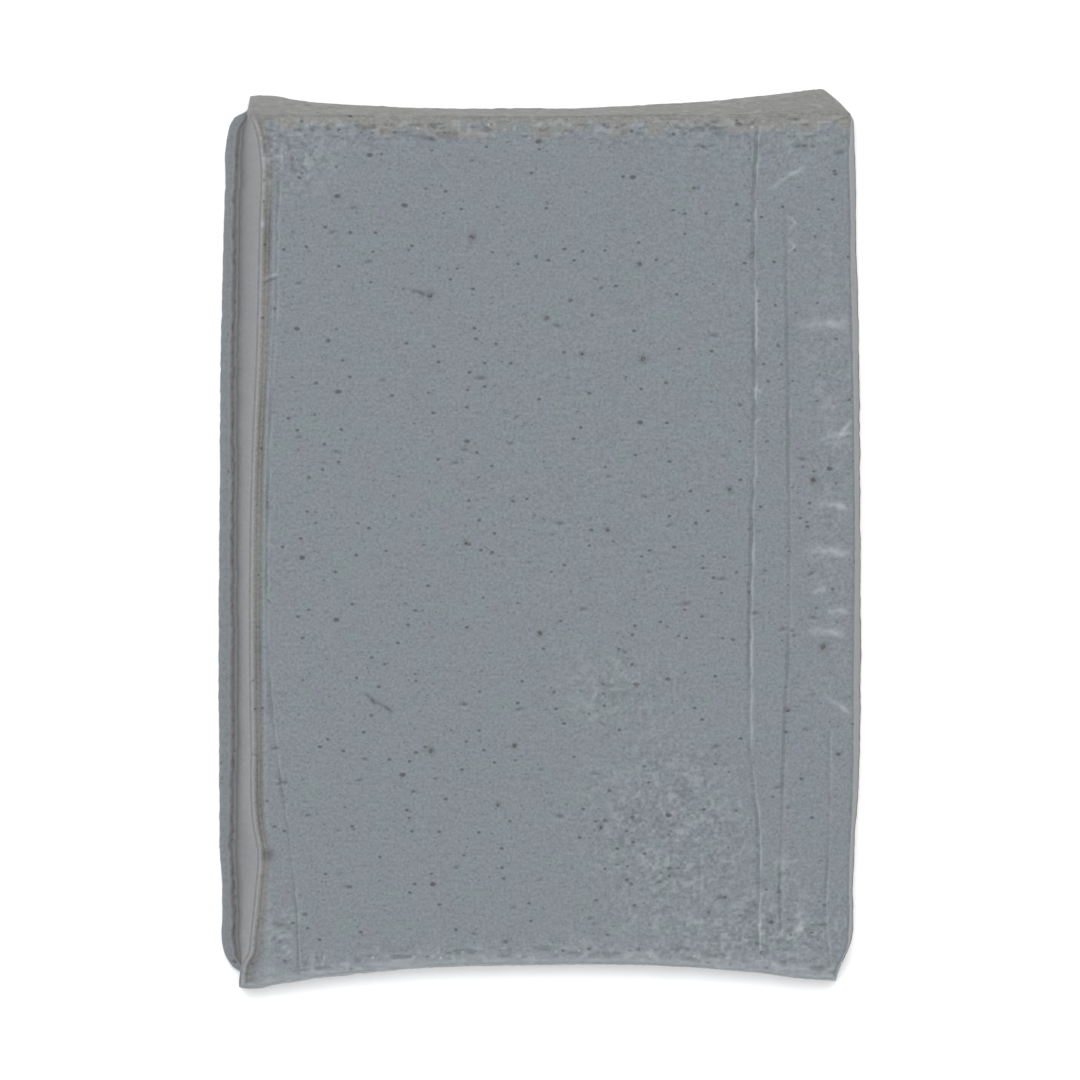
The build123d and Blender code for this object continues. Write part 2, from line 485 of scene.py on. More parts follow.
@dataclass
class Graph:
    """The node tree of a material or the world, and the kinds of node that the looks are made of."""

    owner: bpy.types.Material | bpy.types.World

    def __post_init__(self) -> None:
        """Empties the tree."""
        self.owner.use_nodes = True
        self.owner.node_tree.nodes.clear()

    def add(self, kind: str, inputs: dict[str | int, object], **settings: object) -> bpy.types.NodeOutputs:
        """Adds a node.

        Args:
            kind: the node's type name, less the ShaderNode in front.
            inputs: what each input socket holds, or the output that feeds it.
            settings: the node's own properties.

        Returns:
            The node's outputs.
        """
        tree = self.owner.node_tree
        node = tree.nodes.new(f"ShaderNode{kind}")
        for name, value in settings.items():
            setattr(node, name, value)
        for socket, value in inputs.items():
            if isinstance(value, Socket):
                tree.links.new(value, node.inputs[socket])
            else:
                node.inputs[socket].default_value = value
        return node.outputs

    def place(self) -> Socket:
        """Gives the point's place in its piece."""
        return self.add("TexCoord", {})["Object"]

    def share(self, name: str) -> Socket:
        """Reads a colour share that the mesh holds."""
        return self.add("Attribute", {}, attribute_name=name)["Fac"]

    def noise(self, place: Socket, size: float, detail: float, roughness: float = 0.5) -> Socket:
        """Draws noise with lumps of a size in mm."""
        inputs = {"Vector": place, "Scale": PER_METRE / size, "Detail": detail, "Roughness": roughness}
        return self.add("TexNoise", inputs)["Fac"]

    def ramp(self, value: Socket, start: float, stop: float, low: float = 0.0, high: float = 1.0) -> Socket:
        """Turns a value between start and stop into one between low and high."""
        inputs = {"Value": value, "From Min": start, "From Max": stop, "To Min": low, "To Max": high}
        return self.add("MapRange", inputs)["Result"]

    def mixed(self, first: Socket | str, second: str, share: Socket) -> Socket:
        """Mixes a colour towards a hex colour.

        Args:
            first: a colour, or a hex colour.
            second: the hex colour to mix in.
            share: the second colour's share.

        Returns:
            The mixed colour.
        """
        start = linear_colour(first) if isinstance(first, str) else first
        inputs = {MixSocket.FACTOR: share, MixSocket.FIRST: start, MixSocket.SECOND: linear_colour(second)}
        return self.add("Mix", inputs, data_type="RGBA")[MixSocket.RESULT]

    def shaded(self, colour: Socket, noise: Socket, contrast: float) -> Socket:
        """Lightens and darkens a colour with a noise."""
        inputs = {"Color": colour, "Value": self.ramp(noise, 0.3, 0.7, 1 - contrast, 1 + contrast)}
        return self.add("HueSaturation", inputs)["Color"]

    def bumped(self, height: Socket, depth: float, under: Socket | None, sunk: bool = False) -> Socket:
        """Adds fine relief to the relief under it.

        Args:
            height: the new relief's height, from 0 to 1.
            depth: how deep it is in mm.
            under: the relief so far, if there is any.
            sunk: whether it goes in, not out.

        Returns:
            The relief.
        """
        inputs = {"Height": height, "Strength": 1.0, "Distance": depth * MM}
        if under is not None:
            inputs["Normal"] = under
        return self.add("Bump", inputs, invert=sunk)["Normal"]

    def surfaced(self, inputs: dict[str | int, object]) -> bpy.types.Material:
        """Ends a material with the surface that the inputs describe."""
        self.add("OutputMaterial", {"Surface": self.add("BsdfPrincipled", inputs)["BSDF"]})
        return self.owner


@dataclass(frozen=True)
class Speckle:
    """Scattered specks of one size: how far apart, how wide, how long for their width, how many."""

    pitch: float
    radius: float
    length_ratio: float
    share: float
    tint: str
    strength: float
    depth: float

    def scatter(
        self, graph: Graph, place: Socket, colour: Socket, relief: Socket
    ) -> tuple[Socket, Socket]:
        """Adds the specks to a material, each a small pit drawn out along X, darkened with painted shade.

        Args:
            graph: the material's nodes.
            place: the point's place in the bar.
            colour: the colour so far.
            relief: the relief so far.

        Returns:
            The colour and the relief, with the specks.
        """
        squeeze = (1 / self.length_ratio, 1.0, 1.0)
        squeezed = graph.add("Mapping", {"Vector": place, "Scale": squeeze})["Vector"]
        cells = graph.add("TexVoronoi", {"Vector": squeezed, "Scale": PER_METRE / self.pitch})
        radius = self.radius / self.pitch
        disc = graph.ramp(cells["Distance"], radius, radius * 0.5)
        draw = graph.add("SeparateColor", {"Color": cells["Color"]})["Red"]
        chosen = graph.add("Math", {0: draw, 1: 1 - self.share}, operation="GREATER_THAN")["Value"]
        mask = graph.add("Math", {0: disc, 1: chosen}, operation="MULTIPLY")["Value"]
        share = graph.add("Math", {0: mask, 1: self.strength}, operation="MULTIPLY")["Value"]
        # The speck's tint is painted shade inside its pit.
        return graph.mixed(colour, self.tint, share), graph.bumped(mask, self.depth, relief, sunk=True)


@dataclass(frozen=True)
class PuttyFinish:
    """Detailing clay, a dull polymer putty full of mineral powder, and how one surface was made."""

    name: str
    cool_tint: str
    violet_tint: str
    warm_tint: str
    pale_tint: str
    dark_tint: str
    roughness: float
    mottle_size: float
    grain_size: float
    grain_depth: float
    grain_contrast: float
    streak_size: tuple[float, float, float]
    streak_contrast: float
    streak_depth: float
    speckles: tuple[Speckle, ...]

    def build(self) -> bpy.types.Material:
        """Builds the material: kneaded pigment, powdery grain, streaks, specks and marks.

        Returns:
            A new Blender material.
        """
        graph = Graph(bpy.data.materials.new(self.name))
        place = graph.place()
        drift = graph.ramp(graph.noise(place, self.mottle_size, 3.0), 0.38, 0.62)
        colour = graph.mixed(self.cool_tint, self.violet_tint, drift)
        colour = graph.mixed(colour, self.warm_tint, graph.share("warm"))
        grain = graph.noise(place, self.grain_size, 3.0, 0.6)
        colour = graph.shaded(colour, grain, self.grain_contrast)
        relief = graph.bumped(grain, self.grain_depth, None)
        stretch = tuple(PER_METRE / size for size in self.streak_size)
        stretched = graph.add("Mapping", {"Vector": place, "Scale": stretch})["Vector"]
        streak = graph.noise(stretched, PER_METRE, 2.0)
        colour = graph.shaded(colour, streak, self.streak_contrast)
        relief = graph.bumped(streak, self.streak_depth, relief)
        for speckle in self.speckles:
            colour, relief = speckle.scatter(graph, place, colour, relief)
        for name, tint in (("dark", self.dark_tint), ("pale", self.pale_tint)):
            colour = graph.mixed(colour, tint, graph.share(name))
        return graph.surfaced(
            {"Base Color": colour, "Normal": relief, "Roughness": self.roughness, "IOR": 1.48}
        )


@dataclass(frozen=True)
class MineralFinish:
    """A crushed mineral grain: broken faces with a slight glint, mottled from face to face."""

    name: str
    light_tint: str
    deep_tint: str
    roughness: float
    mottle_size: float = 0.25

    def build(self) -> bpy.types.Material:
        """Builds the material.

        Returns:
            A new Blender material.
        """
        graph = Graph(bpy.data.materials.new(self.name))
        mottle = graph.ramp(graph.noise(graph.place(), self.mottle_size, 2.0), 0.35, 0.65)
        colour = graph.mixed(self.deep_tint, self.light_tint, mottle)
        return graph.surfaced({"Base Color": colour, "Roughness": self.roughness, "IOR": 1.55})


# The die leaves the putty's skin dull and slightly powdery, cool grey with a drift of violet.
# Its specks are coarse filler dragged along the skin, so they are small pits drawn out along X; their dark
# tints are painted shade inside the pits.
PRESSED_SKIN = PuttyFinish(
    name="extruded_clay_putty_skin",
    cool_tint="#60696C",
    violet_tint="#62676E",
    warm_tint="#6A6A68",
    pale_tint="#94999B",
    dark_tint="#3B3E42",
    roughness=0.62,
    mottle_size=3.0,
    grain_size=0.3,
    grain_depth=0.03,
    grain_contrast=0.2,
    streak_size=(1.6, 0.3, 2.0),
    streak_contrast=0.04,
    streak_depth=0.01,
    speckles=(
        Speckle(0.62, 0.13, 1.25, 0.85, "#454A4F", 0.55, 0.01),
        Speckle(1.24, 0.19, 1.4, 0.85, "#373A3E", 0.85, 0.02),
        Speckle(2.2, 0.27, 1.5, 0.35, "#313033", 0.85, 0.03),
    ),
)

# The blade smears the fresh putty smooth, so a cut face is a little glossier and nearly free of
# specks, with faint streaks along Z where the blade came down. Its tints are warmer than the skin's.
KNIFE_CUT = PuttyFinish(
    name="knife_cut_clay_putty",
    cool_tint="#666869",
    violet_tint="#67676A",
    warm_tint="#696968",
    pale_tint="#929492",
    # Its dark tint carries the painted shade in the left crevice and on the right wall.
    dark_tint="#2C2E33",
    roughness=0.5,
    mottle_size=3.0,
    grain_size=0.35,
    grain_depth=0.012,
    grain_contrast=0.09,
    streak_size=(0.35, 0.35, 7.0),
    streak_contrast=0.06,
    streak_depth=0.03,
    speckles=(Speckle(1.5, 0.17, 1.0, 0.4, "#494C50", 0.6, 0.02),),
)

# Coarse dark grit: brown-black crushed mineral that catches the light on its broken faces.
DARK_MINERAL = MineralFinish("crushed_dark_mineral_grit", "#4C413F", "#302A29", 0.45)

# Pale filler: crushed chalky mineral, dull and only a little lighter than the putty.
PALE_MINERAL = MineralFinish("crushed_pale_mineral_filler", "#8B8F8C", "#767A78", 0.7)


# ==== The lump of putty ====

# Short ridges and scratches: start x and y, end x and y, width, and height (below 0 for a scratch).
WRINKLES = (
    (22.4, 34.4, 26.5, 37.1, 0.22, 0.06), (24.4, 31.9, 25.3, 31.1, 0.13, 0.1),
    (25.3, 31.3, 24.6, 30.6, 0.13, 0.1), (24.4, 29.5, 25.2, 28.8, 0.13, 0.1),
    (25.2, 29.0, 24.5, 28.3, 0.13, 0.1), (25.6, 21.1, 30.6, 21.4, 0.5, 0.07),
    (27.6, 9.9, 30.9, 10.6, 0.25, 0.07), (28.9, 9.0, 30.8, 12.0, 0.2, 0.05),
    (27.0, -5.2, 28.3, -5.0, 0.35, 0.05), (28.2, -7.3, 30.4, -7.0, 0.4, 0.05),
    (28.2, -15.6, 30.7, -17.2, 0.25, 0.06), (26.2, -1.0, 30.8, -1.4, 0.45, 0.04),
    (26.5, -9.0, 30.2, -9.3, 0.35, 0.04), (27.0, 3.5, 30.9, 3.2, 0.3, 0.04),
    (21.0, 14.9, 21.9, 14.4, 0.16, 0.1), (21.0, 11.3, 21.9, 11.9, 0.16, 0.1),
    (-27.5, 25.6, -25.8, 26.2, 0.13, 0.07), (-27.4, 25.2, -25.9, 25.8, 0.11, -0.07),
    (-17.4, -15.1, -16.2, -16.3, 0.14, -0.12), (-16.6, -15.9, -14.4, -17.1, 0.14, -0.12),
    (-13.0, 24.6, -11.2, 24.1, 0.17, -0.1), (-26.8, -37.9, -25.5, -38.2, 0.18, -0.13),
    (-25.3, -38.3, -24.5, -38.3, 0.11, -0.07), (-26.4, -38.5, -26.0, -39.3, 0.22, 0.12),
    (-26.5, -39.4, -25.6, -39.9, 0.17, -0.13), (-25.8, -39.8, -24.2, -41.3, 0.16, 0.1),
    (-11.9, 39.6, -10.3, 39.4, 0.2, -0.1), (26.9, 42.0, 28.6, 42.0, 0.14, -0.1),
    (25.0, 38.7, 26.4, 38.8, 0.15, -0.1), (29.0, 38.0, 30.0, 38.2, 0.2, -0.08),
    (25.6, -36.0, 25.7, -39.4, 0.4, 0.05),
)

# Roughness of the soft walls, and of the cut ones: height, size along the side and down it, and
# the number of the draw.
DRAGGED = ((0.035, 1.3, 1.9, 102), (0.045, 0.6, 1.1, 103))
SLICED = ((0.035, 0.7, 8.0, 104), (0.02, 0.35, 4.0, 105))

# Rubbed patches: centre x and y, spread along X and Y, strength, and the number of the draw.
SCUFFS = (
    (-25.6, -38.6, 1.8, 3.0, 0.8, 191), (24.7, -32.2, 1.5, 2.2, 0.8, 192),
    (-25.0, 37.5, 4.5, 3.5, 0.9, 121), (13.0, -29.0, 8.0, 10.0, 0.9, 131),
    (7.5, -14.5, 6.0, 4.0, 0.6, 141), (22.0, -38.5, 11.0, 4.0, 0.9, 151),
    (28.6, 6.0, 2.6, 24.0, 0.45, 161), (-22.0, 39.5, 8.0, 3.0, 0.4, 171),
    (24.0, 39.0, 8.0, 3.0, 0.35, 181),
)


class Side(Enum):
    """The bar's sides, in the order that its rim runs, counter-clockwise from above."""

    FRONT = 0
    RIGHT = 1
    REAR = 2
    LEFT = 3

    @property
    def sign(self) -> int:
        """Which way the side faces along its axis."""
        return 1 if self in (Side.RIGHT, Side.REAR) else -1


# Where each side's strip starts on the mesh's flat sheet.
STRIPS = {
    Side.FRONT: (96.0, 97.0),
    Side.RIGHT: (2.0, 97.0),
    Side.REAR: (96.0, 121.0),
    Side.LEFT: (2.0, 121.0),
}


class Surface(Enum):
    """The lump's finishes, as the places of its material slots."""

    SKIN = 0
    CUT = 1


class Profile(NamedTuple):
    """One section of a side, row by row from the top face's edge to the table.

    A row's place is set by how far it has gone from the top edge to the wall's base, across the
    crevice to the ledge's inner rim, and from there to the foot's edge, as shares, and by how far
    it then stands out, in mm.  Its height is in mm, less its share of the crevice's depth.
    """

    base: Array
    rim: Array
    foot: Array
    out: Array
    height: Array
    sink: Array


@dataclass
class Rim:
    """What the sides hang from: for each point of the top face's edge, where its section runs."""

    top: Array
    outward: Array
    side: Array
    length: Array
    base: Array
    inner: Array
    foot: Array
    foot_share: Array
    depth: Array

    def soft(self) -> Array:
        """Marks the points on the front and rear sides."""
        return np.isin(self.side, (Side.FRONT.value, Side.REAR.value))

    def along(self) -> Array:
        """Gives each point's place along its own side."""
        return np.where(self.soft(), self.top[:, 0], self.top[:, 1])


@dataclass
class Patch:
    """A part of the mesh: its faces, the places of their corners on the sheet, and its finish."""

    faces: Array
    sheet: Array
    surface: Array | int = Surface.SKIN.value


def quads(grid: Array) -> Array:
    """Lists the four corners of each cell of a grid, in the same turn as the grid's axes."""
    return np.stack([grid[:-1, :-1], grid[1:, :-1], grid[1:, 1:], grid[:-1, 1:]], axis=2)


def grid_patch(index: Array, sheet: Array, facing_up: bool) -> Patch:
    """Joins a grid of points into faces.

    Args:
        index: the points' numbers, by column and row.
        sheet: their places on the flat sheet.
        facing_up: whether the faces look up; if not, they look down.

    Returns:
        The patch.
    """
    turn = [0, 1, 2, 3] if facing_up else [0, 3, 2, 1]
    return Patch(quads(index)[:, :, turn].reshape(-1, 4), quads(sheet)[:, :, turn].reshape(-1, 4, 2))


def around(grid: Array) -> Array:
    """Lists a grid's edge, counter-clockwise from its first corner."""
    return np.concatenate([grid[:, 0], grid[-1, 1:], grid[-2::-1, -1], grid[0, -2:0:-1]])


def quarter_turn(steps: int) -> Array:
    """Divides a quarter turn into steps, and leaves out its start."""
    return np.linspace(0, math.pi / 2, steps + 1)[1:]


def shares(steps: int) -> Array:
    """Divides the way from 0 to 1 into steps, and leaves out its start."""
    return np.linspace(0, 1, steps + 1)[1:]


@dataclass
class PuttyLump:
    """The lump of putty: its top face, its four sides with their foot, and its underside.

    The lines down to front_edge_inset are insets: how far a line stands in from the bar's half
    width at a place along Y, or from its half length at a place along X.  The later ones are
    x places along Y.
    """

    half_width: float
    half_length: float
    thickness: float
    coarse_step: float = 0.17
    fine_step: float = 0.09
    group: int = 4
    foot_height: float = 2.6
    top_drop: float = 0.12
    top_radius: float = 0.3
    foot_radius: float = 0.45
    sole_radius: float = 0.2
    sole_shrink: float = 0.985
    left_crevice: tuple[float, float] = (0.7, 0.03)
    right_crevice: tuple[float, float] = (0.01, 0.03)
    left_notches: tuple[float, float] = (42.7, -43.3)
    right_notches: tuple[float, float] = (42.5, -42.7)
    narrowest_ledge: float = 0.04
    wall_waver: float = 0.05
    foot_waver: float = 0.02
    soft_swell: float = 0.09
    cut_swell: float = 0.04
    side_shift: float = 40.0
    # Where the painted shade in the left crevice is darkest, and how far it spreads, as shares of the way
    # across it.
    crevice_shade: tuple[float, float] = (0.5, 0.34)
    sheet_size: float = 150.0
    sheet_gap: float = 2.0

    left_crest: HandLine = HandLine((
        (43.0, 2.75), (40.5, 3.85), (37.5, 4.35), (31.3, 4.25), (19.7, 4.0), (5.8, 3.45), (-20.0, 3.4),
        (-28.0, 3.6), (-31.0, 4.1), (-34.8, 3.85), (-39.0, 3.4), (-41.1, 3.1), (-42.0, 2.6),
        (-43.0, 2.4), (-44.3, 2.3),
    ))
    left_base: HandLine = HandLine((
        (43.9, 3.1), (41.9, 2.7), (40.2, 2.3), (36.0, 2.03), (23.6, 1.79), (0.0, 1.7), (-15.0, 1.78),
        (-36.0, 1.73), (-41.1, 2.0), (-42.8, 2.35), (-44.5, 2.2),
    ))
    left_foot: HandLine = HandLine((
        (42.9, 2.85), (42.2, 1.9), (41.2, 1.15), (40.0, 0.8), (34.5, 0.55), (24.6, 0.25), (9.8, 0.05),
        (-25.0, 0.0), (-31.0, 0.06), (-34.7, 0.24), (-37.3, 0.24), (-39.0, 0.2), (-41.2, 0.55),
        (-42.8, 1.65), (-43.5, 2.2),
    ))
    right_crest: HandLine = HandLine((
        (43.5, 1.7), (42.3, 1.05), (41.3, 1.05), (38.4, 1.2), (32.0, 1.1), (24.0, 1.0), (8.8, 0.7),
        (-8.0, 0.72), (-26.6, 0.95), (-33.1, 1.25), (-39.0, 1.3), (-40.3, 1.45), (-41.3, 1.9),
        (-42.4, 2.45), (-43.7, 2.55),
    ))
    right_base: HandLine = HandLine((
        (44.5, 3.6), (43.9, 2.85), (43.2, 2.05), (42.3, 1.25), (41.8, 0.88), (40.5, 0.71), (38.4, 0.65),
        (30.0, 0.46), (24.6, 0.3), (19.0, 0.18), (9.0, 0.1), (0.0, 0.07), (-10.0, 0.04),
        (-17.4, 0.04), (-24.0, 0.23), (-29.9, 0.6), (-34.7, 0.77), (-38.8, 0.83), (-40.4, 1.13),
        (-42.0, 1.9), (-43.7, 2.45),
    ))
    right_foot: HandLine = HandLine((
        (42.5, 1.2), (41.8, 0.85), (40.5, 0.68), (38.4, 0.62), (30.0, 0.43), (24.6, 0.27), (19.0, 0.15),
        (9.0, 0.06), (0.0, 0.03), (-10.0, 0.0), (-17.4, 0.0), (-24.0, 0.2), (-29.9, 0.57),
        (-34.7, 0.74), (-38.8, 0.8), (-40.4, 1.1), (-42.0, 1.85), (-42.9, 2.4),
    ))
    rear_edge: HandLine = HandLine(((-29.0, 2.85), (-15.0, 2.95), (0.0, 3.0), (15.0, 2.85), (29.3, 2.7)))
    rear_outline: HandLine = HandLine((
        (-28.6, 0.65), (-27.3, 0.6), (-24.0, 1.05), (-19.0, 1.43), (-10.0, 1.83), (0.0, 1.88), (10.0, 1.57),
        (20.0, 0.86), (25.0, 0.3), (27.4, 0.0), (28.4, 0.0),
    ))
    front_outline: HandLine = HandLine((
        (-29.5, 0.05), (-28.6, 0.0), (-25.5, 0.5), (-21.7, 1.07), (-13.8, 1.9), (0.0, 2.37), (13.9, 2.15),
        (21.8, 1.5), (25.8, 0.95), (29.4, 0.77),
    ))
    front_edge_inset: float = 0.5

    channel_set_in: float = 0.62
    second_fold: HandLine = HandLine((
        (42.0, -25.9), (32.5, -26.2), (20.7, -26.4), (11.7, -27.0), (0.0, -27.15), (-30.0, -27.0),
        (-42.0, -26.6),
    ))
    lip_crease: HandLine = HandLine((
        (42.0, -25.6), (30.6, -26.0), (20.5, -26.2), (13.7, -26.6), (0.0, -27.0), (-10.0, -26.95),
        (-20.0, -26.2), (-28.7, -25.0), (-37.3, -24.1), (-42.0, -23.9),
    ))
    wrapper_seam: HandLine = HandLine((
        (42.0, 21.5), (36.0, 21.15), (28.1, 21.0), (20.0, 21.05), (8.8, 21.0), (0.0, 20.8), (-15.0, 20.6),
        (-20.0, 20.65), (-23.1, 20.85), (-27.0, 21.3), (-28.8, 21.45), (-36.0, 21.5), (-42.0, 21.4),
    ))
    wrapper_fold: HandLine = HandLine((
        (42.0, 24.0), (28.0, 24.2), (12.0, 24.45), (-8.0, 24.5), (-21.6, 24.0), (-32.0, 23.7),
        (-42.0, 23.6),
    ))
    short_fold: HandLine = HandLine((
        (42.0, 27.9), (22.0, 28.0), (-21.0, 28.5), (-32.5, 28.3), (-36.5, 28.1), (-42.0, 28.5),
    ))

    def placed(self, inset: HandLine, side: Side, more: float = 0.0) -> HandLine:
        """Turns a line of insets from a side, with some more added, into x or y places."""
        half = self.half_width if side in (Side.LEFT, Side.RIGHT) else self.half_length
        return HandLine(tuple((along, side.sign * (half - value - more)) for along, value in inset.points))

    def outline(self, side: Side) -> HandLine:
        """Gives the line where a side's wall comes down, as x or y places."""
        insets = (self.front_outline, self.right_base, self.rear_outline, self.left_base)
        return self.placed(insets[side.value], side)

    # ---- The top face ----

    def soft_lines(self) -> tuple[HandLine, HandLine]:
        """Gives the top face's rear and front edges, as y places."""
        front = self.placed(self.front_outline, Side.FRONT, self.front_edge_inset)
        return self.placed(self.rear_edge, Side.REAR), front

    def top_grid(self) -> tuple[Array, Array]:
        """Lays out the top face's points, with columns that follow its long creases.

        Returns:
            x and y of the points, as arrays indexed by column and row.
        """
        crest = self.placed(self.left_crest, Side.LEFT)
        channel = HandLine(tuple((along, value + self.channel_set_in) for along, value in crest.points))
        right = self.placed(self.right_crest, Side.RIGHT, self.top_radius)
        guides = [crest, channel, self.lip_crease, self.wrapper_seam, self.wrapper_fold, self.short_fold]
        guides.append(right)
        middles = [guide.middle() for guide in guides]
        columns = graded_places(middles[0], middles[-1], self.coarse_step, self.fine_step, middles)
        rear, front = self.soft_lines()
        rear_middle, front_middle = rear.middle(), front.middle()
        near_edges = [front_middle + step for step in range(4)] + [rear_middle - step for step in range(4)]
        edge_step = 0.6 * self.coarse_step
        rows = graded_places(front_middle, rear_middle, self.coarse_step, edge_step, near_edges)
        settle = 11.0
        to_rear = smooth_step((rows - (rear_middle - settle)) / settle)
        to_front = smooth_step((front_middle + settle - rows) / settle)

        def carried(x: Array) -> Array:
            """Carries the rows towards the curved soft edges at places along X."""
            return rows + (rear.at(x) - rear_middle) * to_rear + (front.at(x) - front_middle) * to_front

        followed = np.array([guide.at(carried(guide.at(rows))) for guide in guides])
        shifts = followed - np.array(middles)[:, None]
        x = np.array([columns + np.interp(columns, middles, shift) for shift in shifts.T]).T
        return x, carried(x)

    def marks(self) -> list[Mark]:
        """Lists what is pressed into the top face, in the order that it happened.

        Returns:
            The marks.
        """
        across, length = self.half_width - 2.5, self.half_length - 3.0
        rear, front = self.soft_lines()
        crest = self.placed(self.left_crest, Side.LEFT)
        return [
            Unevenness(),
            DragBand(rear, 1, 2.0, 0.08, 1.8, 0.0, 31),
            DragBand(front, -1, 1.6, 0.07, 0.0, 0.28, 41),
            Pits(420, 51, across, length, (0.3, 0.8), (0.2, 0.34), (0.015, 0.04), 0.35),
            Pits(80, 52, across, length, (0.4, 1.1), (0.26, 0.42), (0.03, 0.09), 0.9),
            RolledLip(crest, self.second_fold, self.channel_set_in),
            Crease(self.lip_crease, 0.15, 0.1, 36.0, -43.0, 0.05, 0.03, 61),
            Crease(self.wrapper_seam, 0.12, 0.13, 41.5, -41.5, 0.08, 0.07, 64),
            Crease(self.wrapper_fold, 0.11, 0.12, 34.0, -40.5, 0.06, 0.02, 67),
            Crease(self.short_fold, 0.09, 0.11, -18.0, -42.5, 0.05, 0.03, 70),
            *(Wrinkle(*row) for row in WRINKLES),
            *(Scuff(*row) for row in SCUFFS),
            Dent((-26.9, -31.2), 0.55, 0.28),
            Dent((-27.4, 31.1), 0.35, -0.12),
        ]

    # ---- The rim and the sides ----

    def rim(self, top: Array) -> Rim:
        """Works out where each section of the sides runs.

        Args:
            top: the top face's points, indexed by column and row.

        Returns:
            The rim, counter-clockwise from the front left corner.
        """
        columns, rows = top.shape[:2]
        ring = around(top)
        flat = ring[:, :2]
        side = np.repeat([side.value for side in Side], [columns, rows - 1, columns - 1, rows - 2])
        ahead = np.roll(flat, -1, axis=0)
        tangent = ahead - np.roll(flat, 1, axis=0)
        outward = np.stack([tangent[:, 1], -tangent[:, 0]], axis=1)
        outward /= np.linalg.norm(outward, axis=1, keepdims=True)
        base, inner, foot = flat.copy(), flat.copy(), flat.copy()
        foot_share, depth = np.zeros(len(ring)), np.zeros(len(ring))
        for end, column in ((Side.LEFT, top[0]), (Side.RIGHT, top[-1])):
            chosen = side == end.value
            parts = self.cut_end(end, column, ring[chosen])
            base[chosen], inner[chosen], foot[chosen], foot_share[chosen], depth[chosen] = parts
        for end, row in ((Side.FRONT, top[:, 0]), (Side.REAR, top[:, -1])):
            chosen = side == end.value
            base[chosen] = self.soft_edge(end, row, ring[chosen])
            inner[chosen] = foot[chosen] = base[chosen]
        length = np.linalg.norm(ahead - flat, axis=1)
        return Rim(ring, outward, side, length, base, inner, foot, foot_share, depth)

    def ear_tip(self, end: Side, soft: Side, corner: Array) -> Array:
        """Finds where an ear's outer corner meets the table.

        Args:
            end: the cut end that the ear is on.
            soft: the soft edge that the ear is on.
            corner: the top face's corner there.

        Returns:
            The tip's x and y.
        """
        x = self.outline(end).at(self.outline(soft).at(corner[:1]))
        return np.array([x[0], self.outline(soft).at(x)[0]])

    def cut_end(self, end: Side, column: Array, ring: Array) -> tuple[Array, Array, Array, Array, Array]:
        """Places a cut end's wall, crevice and ledge.

        Args:
            end: the left or right side.
            column: the top face's whole edge on that side, front to rear.
            ring: the rim's points that belong to the side.

        Returns:
            The wall's base, the ledge's inner rim and the foot's edge, as x and y, then the foot's
            share in the section and the crevice's depth.
        """
        left = end is Side.LEFT
        wall, edge = self.outline(end), self.placed(self.left_foot if left else self.right_foot, end)
        width, deepest = self.left_crevice if left else self.right_crevice
        rear_notch, front_notch = self.left_notches if left else self.right_notches
        rear_tip = self.ear_tip(end, Side.REAR, column[-1])
        front_tip = self.ear_tip(end, Side.FRONT, column[0])
        flare, taper_start, taper_length = 3.4, 0.6, 1.6
        y = ring[:, 1]
        to_rear = smooth_step((y - (column[-1, 1] - flare)) / flare)
        to_front = smooth_step((column[0, 1] + flare - y) / flare)
        along = y + (rear_tip[1] - column[-1, 1]) * to_rear + (front_tip[1] - column[0, 1]) * to_front
        tremble = lumps(along * 0, along, 1.0, 1.7, 91 + end.value)
        flutter = lumps(along * 0, along, 1.0, 0.6, 95 + end.value)
        share = smooth_step(rear_notch - along) * smooth_step(along - front_notch)
        taper = smooth_step((rear_notch - taper_start - along) / taper_length)
        taper = taper * smooth_step((along - front_notch - taper_start) / taper_length)
        wall_x = wall.at(along) + end.sign * self.wall_waver * tremble * share
        inner_x = wall_x + end.sign * (width * taper) * (1 + 0.12 * flutter)
        foot_x = edge.at(along) + end.sign * self.foot_waver * (tremble + flutter) * share
        ledge = end.sign * (foot_x - inner_x)
        foot_x = np.where(ledge > self.narrowest_ledge, foot_x, inner_x + end.sign * self.narrowest_ledge)
        places = [np.stack([x, along], axis=1) for x in (wall_x, inner_x, foot_x)]
        return (*places, share, deepest * (0.15 + 0.85 * taper) * (1 + 0.15 * tremble))

    def soft_edge(self, end: Side, row: Array, ring: Array) -> Array:
        """Places a soft edge's base, which flares out past the top face into the ears.

        Args:
            end: the front or rear side.
            row: the top face's whole edge on that side, left to right.
            ring: the rim's points that belong to the side.

        Returns:
            The base's x and y.
        """
        left_tip, right_tip = self.ear_tip(Side.LEFT, end, row[0]), self.ear_tip(Side.RIGHT, end, row[-1])
        reach = 5.0
        x = ring[:, 0]
        to_left = smooth_step((row[0, 0] + reach - x) / reach)
        to_right = smooth_step((x - (row[-1, 0] - reach)) / reach)
        along = x + (left_tip[0] - row[0, 0]) * to_left + (right_tip[0] - row[-1, 0]) * to_right
        return np.stack([along, self.outline(end).at(along)], axis=1)

